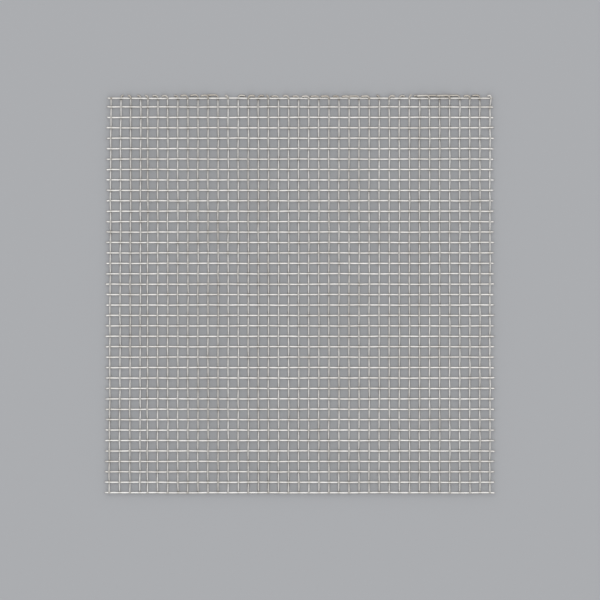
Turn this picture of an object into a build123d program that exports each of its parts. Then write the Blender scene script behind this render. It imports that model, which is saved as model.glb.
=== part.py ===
"""A square of plain-woven wire gauze, lying flat on its lower crests.

The warp wires are straight and run along X. The weft wires run along Y and are crimped: each passes
over one warp wire and under the next, and its neighbours take the opposite sides. At the top edge
(+Y) every weft wire but the first is turned over sideways into a hook, so that the weave can't slip
off. The hooks are uneven, as bent by hand. The other three edges are cut.
"""

import os
from math import sqrt

from build123d import *

# Wire and weave, in millimetres
wire_diameter = 0.45
weft_count = 39
weft_pitch = 2.54
warp_count = 39
warp_pitch = 2.63
crossing_clearance = 0.01

# Uneven places: two weft wires that stand close, a narrow last row, a left edge out of square, and
# a last weft wire that swings outwards at the top corner
crowded_gap = 1.84
left_group_count = 4
edge_gap = 2.19
edge_lean = 0.45
leaning_count = 6
corner_swing = 0.25

# Cut ends: the warp wires stand past the outer weft wires by uneven amounts, and the right cut runs
# closer to the weave towards the top
left_overhang = 1.2
right_overhang = 1.35
cut_slant = 0.33
overhang_shares = (1.0, 0.92, 0.97, 0.9, 0.95)
top_corner_share = 0.4
weft_end_reach = 0.25

# Hooks: how far the highest stands past the top warp wire, how wide they turn, and how far the tips
# drop back
hook_rise = 0.82
hook_turn = 0.3
hook_drop = 0.1

# Height of each hook, from the second wire on: those in the middle lie close to the top warp wire
rise_shares = (
    0.8, 0.84, 0.8, 0.84, 0.8, 0.84, 0.8, 0.95, 1.0, 0.95, 1.0, 0.85, 0.9,
    0.85, 0.8, 0.75, 0.7, 0.66, 0.68, 0.7, 0.66, 0.72, 0.68, 0.7, 0.66, 0.72,
    0.75, 0.8, 0.76, 0.8, 0.82, 0.86, 0.84, 0.88, 0.86, 0.84, 0.9, 0.88,
)

# Reach of each hook in gaps to the next weft wire, from the second wire on: most turn to the left, those
# with a share below zero turn to the right, and those with a share above one pass the next hook, which lies
# on the other face
hook_shares = (
    -0.2, 0.28, 0.33, 0.4, 0.55, 0.6, 0.35, 0.74, 0.8, 0.74, 1.1, 0.3, -0.72,
    -0.66, -0.55, 0.2, 0.74, 0.55, 0.62, 0.7, 0.85, 0.8, 0.6, 0.72, 1.1, 0.8,
    0.22, -0.55, -0.56, -0.22, 0.55, 1.3, 1.45, 1.35, 1.5, 0.62, 0.8, 0.32,
)

# Few-sided sections keep some fifteen hundred crossings light
warp_side_count = 8

# Crimp: a weft wire's straight spans clear the warp wires by the crossing clearance
wire_radius = wire_diameter / 2
crossing_reach = wire_diameter + crossing_clearance
crimp_height = crossing_reach / sqrt(1 - (2 * crossing_reach / min(warp_pitch, edge_gap)) ** 2)
span_slope = 2 * crimp_height / warp_pitch
steepest_slope = 2 * crimp_height / min(warp_pitch, edge_gap)
mid_height = crimp_height + wire_radius * sqrt(1 + steepest_slope**2)

# Outer size, which is centred on the origin
last_row = warp_count - 1
last_column = weft_count - 1
weave_width = last_column * weft_pitch - (weft_pitch - crowded_gap)
weave_length = (last_row - 1) * warp_pitch + edge_gap
gauze_width = left_overhang + edge_lean / 2 + weave_width + right_overhang
gauze_length = weft_end_reach + weave_length + hook_rise + wire_radius
first_column_x = left_overhang + edge_lean / 2 - gauze_width / 2
first_row_y = weft_end_reach - gauze_length / 2


def row_y(row):
    """Place of a warp wire, counted from the bottom edge."""
    if row == last_row:
        return first_row_y + weave_length
    return first_row_y + row * warp_pitch


def column_x(column, row):
    """Place of a weft wire at a warp wire: the first few lean, less and less away from the left edge."""
    crowding = weft_pitch - crowded_gap if column >= left_group_count else 0
    lean = edge_lean * (row / last_row - 1 / 2) * max(0, 1 - column / leaning_count)
    swing = corner_swing if (column, row) == (last_column, last_row) else 0
    return first_column_x + column * weft_pitch - crowding + lean + swing


def weft_point(column, row, beyond=0):
    """Middle of a weft wire at a crossing, or on its slope beyond an edge wire."""
    side = -1 if (column + row) % 2 else 1
    height = mid_height + side * (crimp_height - span_slope * abs(beyond))
    return Vector(column_x(column, row), row_y(row) + beyond, height)


def weft_route(column):
    """Points of a weft wire from its cut end at the bottom, through every crossing, to its hook."""
    route = [weft_point(column, 0, -weft_end_reach)]
    route += [weft_point(column, row) for row in range(warp_count)]
    if column == 0:
        return route + [weft_point(column, last_row, weft_end_reach)]
    hook = (column - 1) % len(hook_shares)
    share = hook_shares[hook]
    toward = -1 if share > 0 else 1
    gap = abs(column_x(column + toward, last_row) - column_x(column, last_row))
    rise = hook_rise * rise_shares[hook % len(rise_shares)]
    bend = weft_point(column, last_row, rise - hook_turn)
    shoulder = bend + Vector(toward * hook_turn, hook_turn, 0)
    tip = bend + Vector(toward * gap * abs(share), hook_turn - hook_drop, 0)
    return route + [bend, shoulder, tip]


def share_of(row, step):
    """Uneven trim of a cut end: the shares come round in a different order at each side."""
    return overhang_shares[row * step % len(overhang_shares)]


def right_reach(row):
    """Reach of a right end past the last weft wire: the top wire is cut short, under the last hook."""
    trim = top_corner_share if row == last_row else share_of(row, 2)
    return (right_overhang - cut_slant * row / last_row) * trim


os.makedirs("parts", exist_ok=True)

# Weft wires: a ridged section as wide and as thick as the wire, carried along its crimped route
for column in range(weft_count):
    with BuildPart() as weft_wire:
        with BuildLine() as route:
            Polyline(*weft_route(column))
        with BuildSketch(Plane(origin=route.line @ 0, x_dir=(1, 0, 0), z_dir=route.line % 0)):
            Polygon((-wire_radius, wire_radius), (wire_radius, wire_radius), (0, -wire_radius), align=None)
        sweep(transition=Transition.RIGHT)
    weft_wire.part.label = f"weft_wire_{column + 1:02d}"
    export_step(weft_wire.part, f"parts/{weft_wire.part.label}.step")

# Warp wires: straight, two neighbours to a node, with the top one in the last node by itself
for first in range(0, warp_count, 2):
    pair = range(first, min(first + 2, warp_count))
    with BuildPart() as warp_wires:
        for row in pair:
            left_end = column_x(0, row) - left_overhang * share_of(row, 1)
            right_end = column_x(last_column, row) + right_reach(row)
            with BuildSketch(Plane.YZ.offset(left_end)):
                with Locations((row_y(row), mid_height)):
                    RegularPolygon(wire_radius, warp_side_count, rotation=180 / warp_side_count)
            extrude(amount=right_end - left_end)
    warp_wires.part.label = "warp_wire_" + "_".join(f"{row + 1:02d}" for row in pair)
    export_step(warp_wires.part, f"parts/{warp_wires.part.label}.step")
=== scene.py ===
"""Looks of a square of plain-woven wire gauze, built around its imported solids.

Every wire is one round tube carried along its own path: straight warp wires along X, and crimped weft
wires along Y that pass over and under them and end in hooks along the top edge. Lengths are in metres.
"""

import logging
import math
from dataclasses import dataclass, field
from enum import Enum, IntEnum
from typing import Any

import bpy
import numpy as np
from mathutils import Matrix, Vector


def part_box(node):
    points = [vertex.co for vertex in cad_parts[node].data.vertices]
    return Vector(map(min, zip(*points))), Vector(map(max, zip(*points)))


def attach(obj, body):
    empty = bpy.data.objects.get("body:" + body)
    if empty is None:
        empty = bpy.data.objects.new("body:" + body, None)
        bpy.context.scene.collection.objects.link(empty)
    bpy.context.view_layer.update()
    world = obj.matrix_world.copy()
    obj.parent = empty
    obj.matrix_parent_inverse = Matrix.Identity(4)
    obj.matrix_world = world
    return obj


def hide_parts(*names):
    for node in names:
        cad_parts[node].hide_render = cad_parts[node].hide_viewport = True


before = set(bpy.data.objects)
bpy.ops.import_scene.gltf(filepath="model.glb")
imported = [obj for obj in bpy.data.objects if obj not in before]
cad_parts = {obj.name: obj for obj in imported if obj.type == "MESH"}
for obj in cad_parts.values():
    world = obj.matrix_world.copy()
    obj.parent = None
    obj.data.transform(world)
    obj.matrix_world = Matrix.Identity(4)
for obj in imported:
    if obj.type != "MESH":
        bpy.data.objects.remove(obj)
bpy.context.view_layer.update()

MM = 0.001
UP = (0.0, 0.0, 1.0)
BODY = "root"
UV_LAYER = "along_wire"
CROSSING_LAYER = "crossing"
DULLNESS_AND_SHADE_LAYER = "worked"

# The sRGB curve: a straight line up to its knee, and a power of the offset value past it
SRGB_KNEE = 0.04045
SRGB_SLOPE = 12.92
SRGB_OFFSET = 0.055
SRGB_POWER = 2.4

# Unevenness along a wire: how many waves each of its sines has, and how large it is, as shares
NOISE_WAVES = (0.22, 0.53, 1.0)
NOISE_SIZES = (0.45, 0.33, 0.22)

log = logging.getLogger("gauze")


class Side(Enum):
    """Face of the warp that a weft wire lies on at a crossing."""

    OVER = 1
    UNDER = -1


class MathSocket(IntEnum):
    """Places of the value sockets on a Math node."""

    FIRST = 0
    SECOND = 1


class MixSocket(IntEnum):
    """Places of the colour sockets on a Mix node."""

    RESULT = 2
    FIRST = 6
    SECOND = 7


class LampRole(Enum):
    """Job of a studio lamp."""

    KEY = "key_softbox"
    FILL = "fill_softbox"


def linear(colour: str) -> tuple[float, float, float, float]:
    """Turns an sRGB hex colour to linear light.

    Args:
        colour: six hex digits after a hash sign.

    Returns:
        Red, green, blue and an alpha of one.
    """
    parts = np.array([int(colour[i:i + 2], 16) for i in (1, 3, 5)]) / 255
    curve = ((parts + SRGB_OFFSET) / (1 + SRGB_OFFSET)) ** SRGB_POWER
    light = np.where(parts <= SRGB_KNEE, parts / SRGB_SLOPE, curve)
    return (*light.tolist(), 1.0)


def empty_tree(owner: bpy.types.Material | bpy.types.World) -> bpy.types.NodeTree:
    """Turns on an owner's nodes and clears them.

    Args:
        owner: new material or world.

    Returns:
        Its node tree, with no node in it.
    """
    owner.use_nodes = True
    owner.node_tree.nodes.clear()
    return owner.node_tree


def add_node(tree: bpy.types.NodeTree, kind: str, settings: dict[str, Any] | None = None,
             links: dict[str | int, Any] | None = None) -> bpy.types.Node:
    """Adds a node to a tree.

    Args:
        tree: node tree of a material or the world.
        kind: Blender's type name of the node.
        settings: properties of the node.
        links: for each input, the socket that feeds it or the value that it holds.

    Returns:
        The new node.
    """
    node = tree.nodes.new(kind)
    for name, value in (settings or {}).items():
        setattr(node, name, value)
    for name, source in (links or {}).items():
        if isinstance(source, bpy.types.NodeSocket):
            tree.links.new(source, node.inputs[name])
        else:
            node.inputs[name].default_value = source
    return node


def solid_points(node: str) -> np.ndarray:
    """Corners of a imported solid.

    Args:
        node: name of the solid's node.

    Returns:
        One row for each corner.
    """
    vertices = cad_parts[node].data.vertices
    points = np.empty(len(vertices) * 3, np.float32)
    vertices.foreach_get("co", points)
    return points.reshape(-1, 3).astype(float)


def smooth_noise(rng: np.random.Generator, count: int, waves: float, size: float) -> np.ndarray:
    """Gentle unevenness along a wire: three sines of random phase, the finest with the given waves.

    Args:
        rng: seeded source of the phases.
        count: number of places along the wire.
        waves: number of the finest waves over the wire.
        size: largest departure.

    Returns:
        One departure for each place.
    """
    along = np.linspace(0, 1, count)
    cycles = waves * np.array(NOISE_WAVES)
    phases = rng.uniform(0, 2 * np.pi, len(cycles))
    return size * np.sin(2 * np.pi * along[:, None] * cycles + phases) @ np.array(NOISE_SIZES)


def smooth_step(share: np.ndarray) -> np.ndarray:
    """Eases from 0 to 1: three times the square of the share, less twice its cube."""
    return share * share * (3 - 2 * share)


def through(points: np.ndarray, along: np.ndarray) -> np.ndarray:
    """Smooth curve through points: on each span, a cubic whose end slopes are central differences.

    Args:
        points: one row for each point.
        along: places on the curve, where the first point is 0, the second is 1 and so on.

    Returns:
        One row for each place.
    """
    slopes = np.gradient(points, axis=0)
    start = np.clip(np.floor(along).astype(int), 0, len(points) - 2)
    s = (along - start)[:, None]
    near, far = points[start], points[start + 1]
    return ((2 * s**3 - 3 * s**2 + 1) * near + (s**3 - 2 * s**2 + s) * slopes[start]
            + (3 * s**2 - 2 * s**3) * far + (s**3 - s**2) * slopes[start + 1])


@dataclass(frozen=True)
class DrawnSteel:
    """Bright steel wire, drawn through a die: it shines along its length, with faint drawing lines.

    Crimping and handling leave it a little darker, warmer and duller in patches; its hooks carry painted
    shade, the corner wire a painted highlight, and dust and painted shade sit at the crossings.
    """

    name: str = "bright_drawn_steel_wire"
    bright: str = "#E4E2DE"
    dull: str = "#B3ACA2"
    # Dust and painted shade at the crossings: the wires darken towards this colour where they touch
    crossing_dust_and_shade: str = "#6F6A63"
    dust_and_shade_share: float = 0.35
    roughness: tuple[float, float] = (0.18, 0.32)
    patch_size: float = 9 * MM
    patch_detail: float = 4.0
    patch_roughness: float = 0.6
    patch_range: tuple[float, float] = (0.4, 0.72)
    patch_share: float = 0.35
    line_length: float = 6 * MM
    line_width: float = 0.09 * MM
    line_detail: float = 2.0
    line_range: tuple[float, float] = (0.3, 0.7)
    line_depth: float = 0.004 * MM
    line_strength: float = 0.6

    def dullness_and_shade(self, tree: bpy.types.NodeTree, place: bpy.types.Node) -> bpy.types.NodeSocket:
        """Adds the nodes that say how dull the wire is, painted shade on the hooks and the corner's painted
        highlight included.

        Args:
            tree: node tree of the material.
            place: texture coordinates.

        Returns:
            Socket that goes from 0 on bright wire to 1 on dull wire.
        """
        # Patches: how far handling has dulled the wire, over a few meshes at a time
        patches = add_node(tree, "ShaderNodeTexNoise", links={
            "Vector": place.outputs["Object"], "Scale": 1 / self.patch_size,
            "Detail": self.patch_detail, "Roughness": self.patch_roughness})
        patchy = add_node(tree, "ShaderNodeMapRange", links={
            "Value": patches.outputs["Fac"], "From Min": self.patch_range[0],
            "From Max": self.patch_range[1], "To Max": self.patch_share})
        # Working: each wire's own dullness, more on the crimped ones, plus painted shade on the weft hooks
        # and less on the corner wire as a painted highlight
        worked = add_node(tree, "ShaderNodeAttribute", {"attribute_name": DULLNESS_AND_SHADE_LAYER})
        dull_and_shade = add_node(tree, "ShaderNodeMath", {"operation": "ADD", "use_clamp": True}, {
            MathSocket.FIRST: patchy.outputs["Result"], MathSocket.SECOND: worked.outputs["Fac"]})
        return dull_and_shade.outputs["Value"]

    def colour(self, tree: bpy.types.NodeTree, dull_and_shade: bpy.types.NodeSocket) -> bpy.types.NodeSocket:
        """Adds the nodes that colour the wire.

        Args:
            tree: node tree of the material.
            dull_and_shade: how dull the wire is, from 0 to 1.

        Returns:
            Socket of the colour.
        """
        steel = add_node(tree, "ShaderNodeMix", {"data_type": "RGBA"}, {
            "Factor": dull_and_shade, MixSocket.FIRST: linear(self.bright), MixSocket.SECOND: linear(self.dull)})
        # Dust and painted shade: darkest where two wires touch, as if shaded there
        crossing = add_node(tree, "ShaderNodeAttribute", {"attribute_name": CROSSING_LAYER})
        dust_and_shade_amount = add_node(tree, "ShaderNodeMath", {"operation": "MULTIPLY"}, {
            MathSocket.FIRST: crossing.outputs["Fac"], MathSocket.SECOND: self.dust_and_shade_share})
        dust_and_shade_mix = add_node(tree, "ShaderNodeMix", {"data_type": "RGBA"}, {
            "Factor": dust_and_shade_amount.outputs["Value"], MixSocket.FIRST: steel.outputs[MixSocket.RESULT],
            MixSocket.SECOND: linear(self.crossing_dust_and_shade)})
        return dust_and_shade_mix.outputs[MixSocket.RESULT]

    def material(self) -> bpy.types.Material:
        """Makes the material, which reads a UV map of metres along and around the wire.

        Returns:
            The new material.
        """
        material = bpy.data.materials.new(self.name)
        tree = empty_tree(material)
        place = add_node(tree, "ShaderNodeTexCoord")
        colour = self.colour(tree, self.dullness_and_shade(tree, place))
        # Drawing lines: long thin streaks, coarser than real ones so that they show
        streak_place = add_node(tree, "ShaderNodeMapping", links={
            "Vector": place.outputs["UV"], "Scale": (1 / self.line_length, 1 / self.line_width, 1.0)})
        streaks = add_node(tree, "ShaderNodeTexNoise", links={
            "Vector": streak_place.outputs["Vector"], "Scale": 1.0, "Detail": self.line_detail})
        gloss = add_node(tree, "ShaderNodeMapRange", links={
            "Value": streaks.outputs["Fac"], "From Min": self.line_range[0],
            "From Max": self.line_range[1], "To Min": self.roughness[0], "To Max": self.roughness[1]})
        relief = add_node(tree, "ShaderNodeBump", links={
            "Height": streaks.outputs["Fac"], "Distance": self.line_depth,
            "Strength": self.line_strength})
        shader = add_node(tree, "ShaderNodeBsdfPrincipled", links={
            "Base Color": colour, "Roughness": gloss.outputs["Result"],
            "Normal": relief.outputs["Normal"], "Metallic": 1.0})
        add_node(tree, "ShaderNodeOutputMaterial", links={"Surface": shader.outputs["BSDF"]})
        return material


@dataclass(frozen=True)
class MattePaper:
    """Pale seamless paper: a flat colour with almost no shine."""

    name: str = "pale_seamless_paper"
    colour: str = "#AEAFB1"
    roughness: float = 0.9
    shine: float = 0.1

    def material(self) -> bpy.types.Material:
        """Makes the material.

        Returns:
            The new material.
        """
        material = bpy.data.materials.new(self.name)
        tree = empty_tree(material)
        shader = add_node(tree, "ShaderNodeBsdfPrincipled", links={
            "Base Color": linear(self.colour), "Roughness": self.roughness,
            "Specular IOR Level": self.shine})
        add_node(tree, "ShaderNodeOutputMaterial", links={"Surface": shader.outputs["BSDF"]})
        return material


@dataclass(frozen=True)
class WireStock:
    """Round drawn wire that the whole gauze is woven from, with pinched ends where cutters closed."""

    diameter: float = 0.45 * MM
    sides: int = 12
    pinch_length: float = 0.35 * MM
    pinch_share: float = 0.45

    @property
    def radius(self) -> float:
        """Half the wire's thickness."""
        return self.diameter / 2

    def pinch(self, length: np.ndarray) -> np.ndarray:
        """Thickness share along a wire: one, easing down to the pinch share at each end as an ellipse does.

        Args:
            length: distance along the wire of each ring.

        Returns:
            One share for each ring.
        """
        from_end = np.minimum(length, length[-1] - length) / self.pinch_length
        ease = np.clip(from_end, 0, 1)
        return self.pinch_share + (1 - self.pinch_share) * np.sqrt(ease * (2 - ease))

    def skin(self, path: np.ndarray, length: np.ndarray) -> np.ndarray:
        """Rings of points round a path.

        A ring stands square to the path: its side arm is the cross product of +Z and the path's direction,
        its lift arm is square to both, and a point at angle a is the path's point plus the radius times
        cos a along the side arm and sin a, times the pinch, along the lift arm.

        Args:
            path: points along the wire's middle, one row each.
            length: distance along the wire of each point.

        Returns:
            One row for each point, ring by ring.
        """
        run = np.gradient(path, axis=0)
        run /= np.linalg.norm(run, axis=1, keepdims=True)
        side = np.cross(UP, run)
        side /= np.linalg.norm(side, axis=1, keepdims=True)
        lift = np.cross(run, side)
        angle = 2 * np.pi * np.arange(self.sides)[:, None] / self.sides
        flat = self.pinch(length)[:, None, None]
        arms = np.cos(angle) * side[:, None] + flat * np.sin(angle) * lift[:, None]
        return (path[:, None] + self.radius * arms).reshape(-1, 3)

    def faces(self, rings: int) -> tuple[np.ndarray, np.ndarray]:
        """Faces of a closed tube, which point outwards.

        Args:
            rings: number of rings along the tube.

        Returns:
            Corners of the wall's faces, ring by ring, and of both ends' faces, which meet in the two points
            that come after the last ring.
        """
        turn = np.arange(self.sides)
        onward = (turn + 1) % self.sides
        ring = np.arange(rings - 1)[:, None] * self.sides
        after = ring + self.sides
        wall = np.stack([ring + turn, ring + onward, after + onward, after + turn], axis=-1)
        last = (rings - 1) * self.sides
        first_middle = np.full(self.sides, rings * self.sides)
        first_end = np.stack([first_middle, onward, turn], axis=1)
        last_end = np.stack([first_middle + 1, last + turn, last + onward], axis=1)
        return wall.reshape(-1, 4), np.concatenate([first_end, last_end])

    def unrolled(self, length: np.ndarray) -> np.ndarray:
        """UV map of a closed tube: metres along the wire and around it, with each end's faces in one place.

        Args:
            length: distance along the wire of each ring.

        Returns:
            One row for each corner of each face.
        """
        turn = np.arange(self.sides)
        width = 2 * np.pi * self.radius / self.sides
        along = np.stack([length[:-1], length[:-1], length[1:], length[1:]], axis=1)[:, None]
        around = width * np.stack([turn, turn + 1, turn + 1, turn], axis=1)[None]
        wall = np.stack(np.broadcast_arrays(along, around), axis=-1).reshape(-1, 2)
        ends = np.repeat([[length[0], 0.0], [length[-1], 0.0]], 3 * self.sides, axis=0)
        return np.concatenate([wall, ends])

    def tube(self, name: str, path: np.ndarray, crossing: np.ndarray,
             worked: np.ndarray) -> bpy.types.Object:
        """Carries the wire's round profile along a path and closes both ends.

        Args:
            name: name of the new object.
            path: points along the wire's middle, one row each.
            crossing: nearness to a crossing at each point, from 0 to 1.
            worked: how dull the wire is at each point, from 0 to 1, painted shade on the weft hooks included
                and less on the corner wire as a painted highlight.

        Returns:
            The wire's mesh object.
        """
        length = np.concatenate([[0.0], np.cumsum(np.linalg.norm(np.diff(path, axis=0), axis=1))])
        points = np.concatenate([self.skin(path, length), path[:1], path[-1:]])
        wall, ends = self.faces(len(path))
        mesh = bpy.data.meshes.new(name)
        mesh.from_pydata(points, [], wall.tolist() + ends.tolist())
        uv = mesh.uv_layers.new(name=UV_LAYER)
        uv.data.foreach_set("uv", self.unrolled(length).ravel())
        for layer_name, values in ((CROSSING_LAYER, crossing), (DULLNESS_AND_SHADE_LAYER, worked)):
            layer = mesh.attributes.new(layer_name, "FLOAT", "POINT")
            layer.data.foreach_set("value", np.concatenate([np.repeat(values, self.sides), values[[0, -1]]]))
        mesh.polygons.foreach_set("use_smooth", np.arange(len(wall) + len(ends)) < len(wall))
        mesh.update()
        wire = bpy.data.objects.new(name, mesh)
        bpy.context.scene.collection.objects.link(wire)
        return wire


@dataclass
class Weave:
    """Places of all crossings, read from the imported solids, with the unevenness of woven wire."""

    stock: WireStock
    look_reach: float = 0.15 * MM
    touch_share: float = 1.02
    near_power: int = 8
    warp_wobble: float = 0.05 * MM
    weft_wobble: float = 0.07 * MM
    wobble_waves: float = 13.0
    seed: int = 39
    warp_nodes: dict[int, str] = field(init=False)
    weft_nodes: list[str] = field(init=False)
    row_y: np.ndarray = field(init=False)
    x: np.ndarray = field(init=False)
    y: np.ndarray = field(init=False)

    def __post_init__(self) -> None:
        """Reads each wire's place from its solid and adds the wobble."""
        names = sorted(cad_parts)
        self.weft_nodes = [name for name in names if name.startswith("weft")]
        # A warp node's name ends in the numbers of its wires, one or two
        self.warp_nodes = {int(number) - 1: name for name in names if name.startswith("warp")
                           for number in name.split("_")[2:]}
        # In a pair, the even row is the lower wire, and each wire lies along one edge of the pair's box
        boxes = [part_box(self.warp_nodes[row]) for row in range(self.rows)]
        half = (boxes[0][1].z - boxes[0][0].z) / 2
        self.row_y = np.array([low.y + half if row % 2 == 0 else high.y - half
                               for row, (low, high) in enumerate(boxes)])
        # A weft wire runs straight up to the last row but one, and may swing at the last
        bottom_x, upper_x, top_x = [np.array([self.middle_x(name, row) for name in self.weft_nodes])
                                    for row in (0, -2, -1)]
        up = np.linspace(0, 1, self.rows - 1)
        straight_x = bottom_x[:, None] * (1 - up) + upper_x[:, None] * up
        rng = np.random.default_rng(self.seed)
        weft = self.wobble(rng, self.columns, self.rows, self.weft_wobble)
        warp = self.wobble(rng, self.rows, self.columns, self.warp_wobble)
        self.x = np.column_stack([straight_x, top_x]) + weft
        self.y = self.row_y[None, :] + warp.T

    def wobble(self, rng: np.random.Generator, wires: int, crossings: int, size: float) -> np.ndarray:
        """Unevenness of one set of wires: for each wire, a departure at each of its crossings."""
        return np.stack([smooth_noise(rng, crossings, self.wobble_waves, size) for _ in range(wires)])

    def middle_x(self, node: str, row: int) -> float:
        """Place of a weft wire where its solid crosses a row: half-way between its outer corners.

        Args:
            node: name of the wire's node.
            row: number of the warp wire that it crosses.

        Returns:
            Place of the wire's middle along X.
        """
        points = solid_points(node)
        ring = points[np.abs(points[:, 1] - self.row_y[row]) < self.look_reach, 0]
        return (ring.min() + ring.max()) / 2

    @property
    def columns(self) -> int:
        """Number of weft wires."""
        return len(self.weft_nodes)

    @property
    def rows(self) -> int:
        """Number of warp wires."""
        return len(self.warp_nodes)

    @property
    def crimp(self) -> float:
        """Height of a weft wire's middle over the warp: a hair over a diameter, so that they clear."""
        return self.stock.diameter * self.touch_share

    @property
    def middle(self) -> float:
        """Height of the warp wires when the lower crests lie on the floor."""
        return self.crimp + self.stock.radius

    @staticmethod
    def side(column: int, row: int) -> Side:
        """Plain weave: over and under alternate both ways."""
        return Side.UNDER if (column + row) % 2 else Side.OVER

    def nearness(self, along: np.ndarray) -> np.ndarray:
        """Nearness to a crossing, from 0 to 1: a high power of a cosine that is one at each whole place."""
        return np.cos(np.pi * (along - np.round(along))) ** self.near_power


@dataclass
class Wires:
    """One set of wires of the weave, each in place of its own solid."""

    weave: Weave
    made: list[bpy.types.Object] = field(default_factory=list, init=False)

    def lay(self, wire: bpy.types.Object, node: str) -> None:
        """Puts a new wire in place of its solid and lists it.

        Args:
            wire: the wire's mesh object.
            node: name of the solid's node.
        """
        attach(wire, BODY)
        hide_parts(node)
        self.made.append(wire)

    def dress(self, steel: bpy.types.Material) -> None:
        """Gives every wire its steel and reports it.

        Args:
            steel: material of all wires.
        """
        for wire in self.made:
            wire.data.materials.append(steel)
            log.info("%s: %d faces in %s", wire.name, len(wire.data.polygons), steel.name)


@dataclass
class WarpWires(Wires):
    """Straight wires along X, each cut at both ends a little past the outer weft wires."""

    # Points to a mesh, and how far a wire gives way to the weft at each crossing
    steps: int = 5
    sag: float = 0.018 * MM

    # Cut ends: how far they stray and are trimmed, and extra points, in steps, that round their pinch
    stray: float = 0.09 * MM
    trim: float = 0.16 * MM
    tip_places: tuple[float, ...] = (0.2, 0.45, 0.7)

    # Dullness, drawn for each wire
    worked: tuple[float, float] = (0.0, 0.2)
    seed: int = 11

    def ends(self, row: int) -> tuple[float, float]:
        """Left and right ends of a warp wire, from its solid's box."""
        low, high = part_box(self.weave.warp_nodes[row])
        return low.x, high.x

    def path(self, row: int, rng: np.random.Generator) -> tuple[np.ndarray, np.ndarray]:
        """Middle of one wire: a smooth curve through its crossings, dipped a hair away from each weft wire.

        Args:
            row: number of the wire from the bottom edge.
            rng: seeded source of the stray of its ends.

        Returns:
            Points along the wire, and nearness to a crossing at each.
        """
        sides = np.array([self.weave.side(column, row).value for column in range(self.weave.columns)])
        height = self.weave.middle - self.sag * sides
        crossings = np.stack([self.weave.x[:, row], self.weave.y[:, row], height], axis=1)
        left, right = self.ends(row)
        trim = rng.uniform(0, self.trim, 2)
        drift = rng.uniform(-self.stray, self.stray, (2, 2))
        first = [left + trim[0], crossings[0, 1] + drift[0, 0], self.weave.middle + drift[0, 1]]
        final = [right - trim[1], crossings[-1, 1] + drift[1, 0], self.weave.middle + drift[1, 1]]
        points = np.vstack([first, crossings, final])
        along = np.linspace(0, len(points) - 1, (len(points) - 1) * self.steps + 1)
        tips = np.array(self.tip_places) / self.steps
        along = np.sort(np.concatenate([along, tips, along[-1] - tips]))
        return through(points, along), self.weave.nearness(along)

    def build(self) -> None:
        """Makes every warp wire."""
        rng = np.random.default_rng(self.seed)
        for row in range(self.weave.rows):
            path, near = self.path(row, rng)
            worked = np.full(len(path), rng.uniform(*self.worked))
            wire = self.weave.stock.tube(f"round_warp_wire_{row + 1:02d}", path, near, worked)
            self.lay(wire, self.weave.warp_nodes[row])


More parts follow.
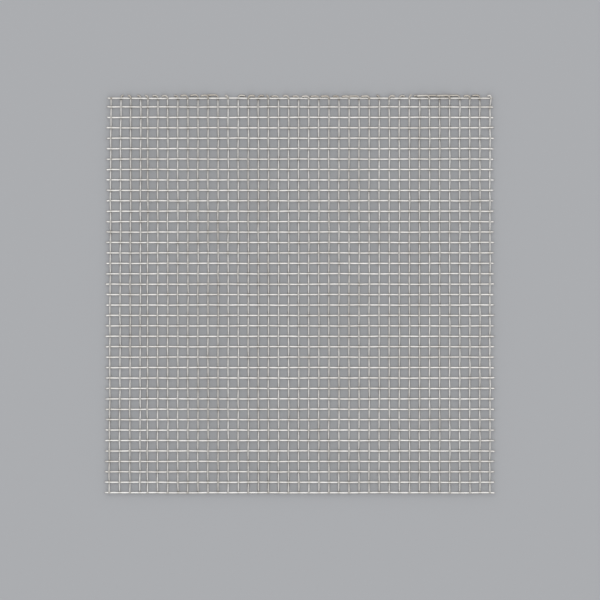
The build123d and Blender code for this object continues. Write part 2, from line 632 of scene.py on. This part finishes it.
@dataclass
class WeftWires(Wires):
    """Crimped wires along Y, cut at the bottom edge and hooked over at the top one."""

    # Points to a mesh, and the cut ends past the outer warp wires
    steps: int = 8
    end_reach: float = 0.25 * MM
    end_shares: tuple[float, ...] = (1.0, 0.8, 0.55, 0.3)

    # Hooks from above: where a solid's hook starts, how wide the wire turns, and how far its tail drops,
    # as a share of the hook's height and of the tail's length
    hook_start: float = 0.2 * MM
    hook_turn: float = 0.75 * MM
    corner_turn: float = 0.3 * MM
    turn_share: float = 0.8
    hook_drop: float = 0.1 * MM
    tail_share: float = 0.3
    tail_slope: float = 0.3
    hook_steps: int = 10

    # Hooks from the side: the share of the crest's height that a tip keeps, on each face of the warp and
    # on long hooks, and the reach past which a hook counts as long, or as passing the next one
    over_levels: tuple[float, float] = (0.7, 1.0)
    under_levels: tuple[float, float] = (0.6, 0.8)
    long_reach: float = 1.7 * MM
    long_level: float = 0.95
    passing_reach: float = 2.4 * MM

    # Dullness: drawn for each wire, painted shade on its bent end, and the share kept by the corner wire, a
    # painted highlight
    worked: tuple[float, float] = (0.0, 0.3)
    hook_painted_shade: float = 0.6
    shaded_hook_reach: float = 0.3 * MM
    corner_painted_highlight_share: float = 0.1
    seed: int = 23

    def is_corner(self, column: int) -> bool:
        """Tells whether a wire is the last one, whose hook stands at the top corner."""
        return column == self.weave.columns - 1

    def crimped(self, column: int) -> tuple[np.ndarray, np.ndarray]:
        """Woven stretch: a smooth curve through the crossings whose height is a cosine wave.

        Args:
            column: number of the wire from the left edge.

        Returns:
            Points along the stretch, and nearness to a crossing at each.
        """
        spans = self.weave.rows - 1
        along = np.linspace(0, spans, spans * self.steps + 1)
        plan = through(np.stack([self.weave.x[column], self.weave.y[column]], axis=1), along)
        start = self.weave.side(column, 0).value
        height = self.weave.middle + start * self.weave.crimp * np.cos(np.pi * along)
        return np.column_stack([plan, height]), self.weave.nearness(along)

    def tip(self, column: int) -> np.ndarray:
        """Tip of a hook's solid in plan: the far side of what stands past the top warp wire.

        Args:
            column: number of the wire from the left edge.

        Returns:
            Place of the tip along X and Y.
        """
        points = solid_points(self.weave.weft_nodes[column])[:, :2]
        past = points[points[:, 1] > self.weave.row_y[-1] + self.hook_start]
        away = np.abs(past[:, 0] - self.weave.x[column, -1])
        end = past[away > away.max() - self.weave.look_reach]
        return np.array([past[away.argmax(), 0], (end[:, 1].min() + end[:, 1].max()) / 2])

    def hook(self, column: int, foot: np.ndarray, level: float) -> np.ndarray:
        """End past the top warp wire: a quarter turn to one side, and a tail that drops a little.

        The turn is a quarter ellipse, and the tail's drop grows with the square of its length. All along,
        the wire eases from its crest towards the level of the warp wires. A long hook stays on its own
        face, and one that passes the next hook is flatter too.

        Args:
            column: number of the wire from the left edge.
            foot: last point of the woven stretch.
            level: share of the crest's height that the tip keeps, unless the hook is long.

        Returns:
            Points from just past the foot to the tip.
        """
        reach, tip_y = self.tip(column) - foot[:2]
        top = tip_y + self.hook_drop
        widest = self.corner_turn if self.is_corner(column) else self.hook_turn
        turn = min(widest, self.turn_share * abs(reach)) * np.sign(reach)
        drop = min(self.tail_share * top, self.tail_slope * abs(reach - turn))
        if abs(reach) > self.long_reach:
            level = self.long_level
        if abs(reach) > self.passing_reach:
            drop = self.hook_drop
        s = np.linspace(0, 1, self.hook_steps + 1)[1:]
        quarter = np.pi / 2 * s
        bend = np.column_stack([turn * (1 - np.cos(quarter)), top * np.sin(quarter)])
        tail = np.column_stack([turn + (reach - turn) * s, top - drop * s**2])
        plan = np.vstack([bend, tail])
        ease = smooth_step(np.linspace(0, 1, len(plan) + 1)[1:])
        height = (foot[2] - self.weave.middle) * (level - 1) * ease
        return foot + np.column_stack([plan, height])

    def path(self, column: int, rng: np.random.Generator) -> tuple[np.ndarray, np.ndarray]:
        """Whole wire from its cut bottom end to its hook, or to a cut end on the first wire.

        Args:
            column: number of the wire from the left edge.
            rng: seeded source of the hook's level.

        Returns:
            Points along the wire, and nearness to a crossing at each.
        """
        woven, near = self.crimped(column)
        over = self.weave.side(column, self.weave.rows - 1) is Side.OVER
        level = rng.uniform(*(self.over_levels if over else self.under_levels))
        stub = np.array(self.end_shares)[:, None] * np.array([0.0, -self.end_reach, 0.0])
        tip = woven[-1] - stub[::-1] if column == 0 else self.hook(column, woven[-1], level)
        path = np.vstack([woven[0] + stub, woven, tip])
        return path, np.concatenate([np.ones(len(stub)), near, np.zeros(len(tip))])

    def build(self) -> None:
        """Makes every weft wire."""
        rng = np.random.default_rng(self.seed)
        for column, node in enumerate(self.weave.weft_nodes):
            path, near = self.path(column, rng)
            # Painted shade: the hook past the top warp wire is darkened towards the dull steel
            shaded_hook = path[:, 1] > self.weave.y[column, -1] - self.shaded_hook_reach
            worked = rng.uniform(*self.worked) + self.hook_painted_shade * shaded_hook
            # Painted highlight: the corner wire keeps only a small share of its dullness and painted shade,
            # so it shows bright
            if self.is_corner(column):
                worked *= self.corner_painted_highlight_share
            self.lay(self.weave.stock.tube(f"round_{node}", path, near, worked), node)


@dataclass(frozen=True)
class Softbox:
    """Rectangular lamp that looks at the gauze from a bearing round it and a height above the floor.

    The bearing and the height are in degrees, with the bearing counted from +Y, and the power is in watts.
    """

    role: LampRole
    bearing: float
    height: float
    distance: float
    width: float
    depth: float
    power: float

    def build(self) -> None:
        """Hangs the lamp and turns it to the origin."""
        data = bpy.data.lights.new(self.role.value, "AREA")
        data.shape = "RECTANGLE"
        data.size, data.size_y = self.width, self.depth
        data.energy = self.power
        lamp = bpy.data.objects.new(self.role.value, data)
        bearing, height = math.radians(self.bearing), math.radians(self.height)
        lamp.location = (self.distance * math.cos(height) * math.sin(bearing),
                         self.distance * math.cos(height) * math.cos(bearing),
                         self.distance * math.sin(height))
        lamp.rotation_euler = lamp.location.to_track_quat("Z", "Y").to_euler()
        bpy.context.scene.collection.objects.link(lamp)


@dataclass
class Studio:
    """Pale floor, an even sky, soft lamps, and a camera that looks straight down on the gauze."""

    floor_size: float = 6.0

    # Light: a long lamp overhead brightens the warp wires, and one behind the top edge evens out the weft
    sky: str = "#F2F3F5"
    sky_strength: float = 0.92
    lamps: tuple[Softbox, ...] = (
        Softbox(LampRole.KEY, bearing=180, height=84, distance=1.6, width=0.9, depth=5.4, power=7.5),
        Softbox(LampRole.FILL, bearing=0, height=30, distance=1.8, width=1.6, depth=1.0, power=1.6),
    )

    # Camera: lens and sensor in millimetres, the picture's width in pixels, the size of a pixel on the
    # gauze, and the point that the camera looks at
    lens: float = 200.0
    sensor: float = 36.0
    frame_pixels: float = 600.0
    pixel: float = 0.2525 * MM
    aim: tuple[float, float] = (0.03 * MM, -1.54 * MM)

    def build_floor(self) -> None:
        """Lays the floor, which isn't part of the gauze."""
        half = self.floor_size / 2
        corners = [(-half, -half, 0), (half, -half, 0), (half, half, 0), (-half, half, 0)]
        mesh = bpy.data.meshes.new("floor")
        mesh.from_pydata(corners, [], [(0, 1, 2, 3)])
        floor = bpy.data.objects.new("floor", mesh)
        floor.data.materials.append(MattePaper().material())
        bpy.context.scene.collection.objects.link(floor)

    def build_light(self) -> None:
        """Hangs the lamps and sets the sky."""
        for lamp in self.lamps:
            lamp.build()
        world = bpy.data.worlds.new("studio_sky")
        tree = empty_tree(world)
        sky = add_node(tree, "ShaderNodeBackground", links={
            "Color": linear(self.sky), "Strength": self.sky_strength})
        add_node(tree, "ShaderNodeOutputWorld", links={"Surface": sky.outputs["Background"]})
        bpy.context.scene.world = world

    def build_camera(self) -> None:
        """Places the camera so high that a pixel of the picture has its size on the gauze."""
        data = bpy.data.cameras.new("camera")
        data.lens, data.sensor_width = self.lens, self.sensor
        camera = bpy.data.objects.new("camera", data)
        camera.location = (*self.aim, self.lens * self.frame_pixels * self.pixel / self.sensor)
        bpy.context.scene.collection.objects.link(camera)
        bpy.context.scene.camera = camera

    def build(self) -> None:
        """Sets the floor, the light, the camera and the plain view."""
        self.build_floor()
        self.build_light()
        self.build_camera()
        bpy.context.scene.view_settings.view_transform = "Standard"


def main() -> None:
    """Builds the wires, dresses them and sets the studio."""
    logging.basicConfig(level=logging.INFO, format="%(name)s: %(message)s")
    weave = Weave(WireStock())
    steel = DrawnSteel().material()
    for wires in (WarpWires(weave), WeftWires(weave)):
        wires.build()
        wires.dress(steel)
    Studio().build()


if __name__ == "__main__":
    main()
